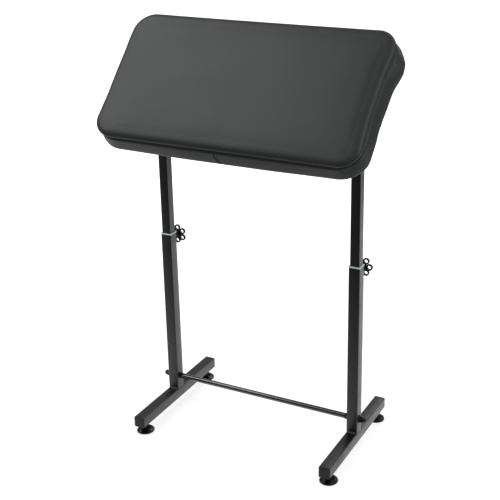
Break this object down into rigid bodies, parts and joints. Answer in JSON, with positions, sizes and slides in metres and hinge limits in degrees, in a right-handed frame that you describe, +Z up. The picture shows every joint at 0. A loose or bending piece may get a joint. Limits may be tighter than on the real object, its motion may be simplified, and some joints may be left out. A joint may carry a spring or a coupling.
{
  "type": "tattoo arm rest stand",
  "caption": "Free-standing arm rest: a tilting upholstered pad on two telescopic square posts with clamp knobs, floor bars, a cross rod and levelling feet.",
  "frame": {"origin": "on the floor, midway between the posts in X and midway between the foremost and rearmost points in Y", "axes": "+Z up, +X along the pad to the right as seen by the person whose arm rests on it, +Y towards the back, where the height knobs are"},
  "size_m": [0.605, 0.3196, 0.9067],
  "materials": {
    "powder_coat": "fine-textured semi-gloss black powder coat",
    "black_hardware": "gloss black plated fasteners",
    "steel_screw": "zinc-plated steel",
    "knob_plastic": "black moulded nylon",
    "plug_plastic": "black moulded plastic",
    "green_bushing": "mint green moulded nylon",
    "washer_nylon": "natural nylon",
    "glide_plastic": "gloss black moulded plastic",
    "board": "plywood",
    "foam": "upholstery foam",
    "dust_cloth": "black non-woven cloth",
    "cover": "matt black synthetic leather"
  },
  "bodies": {
    "frame": {"bar_end_plugs": "plug_plastic", "cross_rod": "powder_coat", "foot_weld_nuts": "steel_screw", "height_clamp_nuts": "black_hardware", "left_foot_bar": "powder_coat", "left_outer_post": "powder_coat", "left_post_bushing": "green_bushing", "post_welds": "powder_coat", "right_foot_bar": "powder_coat", "right_outer_post": "powder_coat", "right_post_bushing": "green_bushing", "rod_dome_nuts": "black_hardware", "rod_inner_nuts": "black_hardware", "rod_washers": "black_hardware"},
    "carriage": {"left_inner_post": "powder_coat", "post_end_glides": "plug_plastic", "post_top_inserts": "plug_plastic", "right_inner_post": "powder_coat", "tilt_friction_washers": "washer_nylon"},
    "pad": {"bracket_screws": "black_hardware", "left_pad_bracket": "powder_coat", "pad_board": "board", "pad_cover": "cover", "pad_dust_cover": "dust_cloth", "pad_foam": "foam", "right_pad_bracket": "powder_coat", "tilt_weld_nuts": "black_hardware"},
    "left_front_foot_glide": {"left_front_foot_glide": "glide_plastic"},
    "left_front_foot_stud": {"left_front_foot_stud": "steel_screw"},
    "left_height_knob": {"left_height_knob": "knob_plastic"},
    "left_height_screw": {"left_height_screw": "steel_screw"},
    "left_rear_foot_glide": {"left_rear_foot_glide": "glide_plastic"},
    "left_rear_foot_stud": {"left_rear_foot_stud": "steel_screw"},
    "left_tilt_knob": {"left_tilt_knob": "knob_plastic"},
    "left_tilt_screw": {"left_tilt_screw": "steel_screw"},
    "right_front_foot_glide": {"right_front_foot_glide": "glide_plastic"},
    "right_front_foot_stud": {"right_front_foot_stud": "steel_screw"},
    "right_height_knob": {"right_height_knob": "knob_plastic"},
    "right_height_screw": {"right_height_screw": "steel_screw"},
    "right_rear_foot_glide": {"right_rear_foot_glide": "glide_plastic"},
    "right_rear_foot_stud": {"right_rear_foot_stud": "steel_screw"},
    "right_tilt_knob": {"right_tilt_knob": "knob_plastic"},
    "right_tilt_screw": {"right_tilt_screw": "steel_screw"}
  },
  "joints": [
    {"name": "height_slide", "type": "slide", "parent": "frame", "child": "carriage", "axis": [0, 0, 1], "range_m": [-0.24, 0.03]},
    {"name": "pad_tilt", "type": "hinge", "parent": "carriage", "child": "pad", "pos_m": [0, 0.00228, 0.743], "axis": [1, 0, 0], "range_deg": [-46, 34]},
    {"name": "left_height_clamp_feed", "type": "slide", "parent": "frame", "child": "left_height_screw", "axis": [0, 1, 0], "range_m": [0, 0.004]},
    {"name": "left_height_clamp_turn", "type": "hinge", "parent": "left_height_screw", "child": "left_height_knob", "pos_m": [-0.2265, 0.02778, 0.4185], "axis": [0, 1, 0], "range_deg": [0, 1152]},
    {"name": "left_tilt_clamp_feed", "type": "slide", "parent": "pad", "child": "left_tilt_screw", "axis": [1, 0, 0], "range_m": [0, 0.003]},
    {"name": "left_tilt_clamp_turn", "type": "hinge", "parent": "left_tilt_screw", "child": "left_tilt_knob", "pos_m": [-0.2265, 0.00228, 0.743], "axis": [1, 0, 0], "range_deg": [0, 864]},
    {"name": "left_front_foot_feed", "type": "slide", "parent": "frame", "child": "left_front_foot_stud", "axis": [0, 0, -1], "range_m": [-0.008, 0.005]},
    {"name": "left_front_foot_turn", "type": "hinge", "parent": "left_front_foot_stud", "child": "left_front_foot_glide", "pos_m": [-0.2265, -0.13122, 0.01], "axis": [0, 0, -1], "range_deg": [-2304, 1440]},
    {"name": "left_rear_foot_feed", "type": "slide", "parent": "frame", "child": "left_rear_foot_stud", "axis": [0, 0, -1], "range_m": [-0.008, 0.005]},
    {"name": "left_rear_foot_turn", "type": "hinge", "parent": "left_rear_foot_stud", "child": "left_rear_foot_glide", "pos_m": [-0.2265, 0.13578, 0.01], "axis": [0, 0, -1], "range_deg": [-2304, 1440]},
    {"name": "right_height_clamp_feed", "type": "slide", "parent": "frame", "child": "right_height_screw", "axis": [0, 1, 0], "range_m": [0, 0.004]},
    {"name": "right_height_clamp_turn", "type": "hinge", "parent": "right_height_screw", "child": "right_height_knob", "pos_m": [0.2265, 0.02778, 0.4185], "axis": [0, 1, 0], "range_deg": [0, 1152]},
    {"name": "right_tilt_clamp_feed", "type": "slide", "parent": "pad", "child": "right_tilt_screw", "axis": [-1, 0, 0], "range_m": [0, 0.003]},
    {"name": "right_tilt_clamp_turn", "type": "hinge", "parent": "right_tilt_screw", "child": "right_tilt_knob", "pos_m": [0.2265, 0.00228, 0.743], "axis": [-1, 0, 0], "range_deg": [0, 864]},
    {"name": "right_front_foot_feed", "type": "slide", "parent": "frame", "child": "right_front_foot_stud", "axis": [0, 0, -1], "range_m": [-0.008, 0.005]},
    {"name": "right_front_foot_turn", "type": "hinge", "parent": "right_front_foot_stud", "child": "right_front_foot_glide", "pos_m": [0.2265, -0.13122, 0.01], "axis": [0, 0, -1], "range_deg": [-2304, 1440]},
    {"name": "right_rear_foot_feed", "type": "slide", "parent": "frame", "child": "right_rear_foot_stud", "axis": [0, 0, -1], "range_m": [-0.008, 0.005]},
    {"name": "right_rear_foot_turn", "type": "hinge", "parent": "right_rear_foot_stud", "child": "right_rear_foot_glide", "pos_m": [0.2265, 0.13578, 0.01], "axis": [0, 0, -1], "range_deg": [-2304, 1440]}
  ],
  "couplings": [
    {"joint": "left_height_clamp_turn", "follows": "left_height_clamp_feed", "rad_per_m": 5026.5},
    {"joint": "left_tilt_clamp_turn", "follows": "left_tilt_clamp_feed", "rad_per_m": 5026.5},
    {"joint": "left_front_foot_turn", "follows": "left_front_foot_feed", "rad_per_m": 5026.5},
    {"joint": "left_rear_foot_turn", "follows": "left_rear_foot_feed", "rad_per_m": 5026.5},
    {"joint": "right_height_clamp_turn", "follows": "right_height_clamp_feed", "rad_per_m": 5026.5},
    {"joint": "right_tilt_clamp_turn", "follows": "right_tilt_clamp_feed", "rad_per_m": 5026.5},
    {"joint": "right_front_foot_turn", "follows": "right_front_foot_feed", "rad_per_m": 5026.5},
    {"joint": "right_rear_foot_turn", "follows": "right_rear_foot_feed", "rad_per_m": 5026.5}
  ]
}
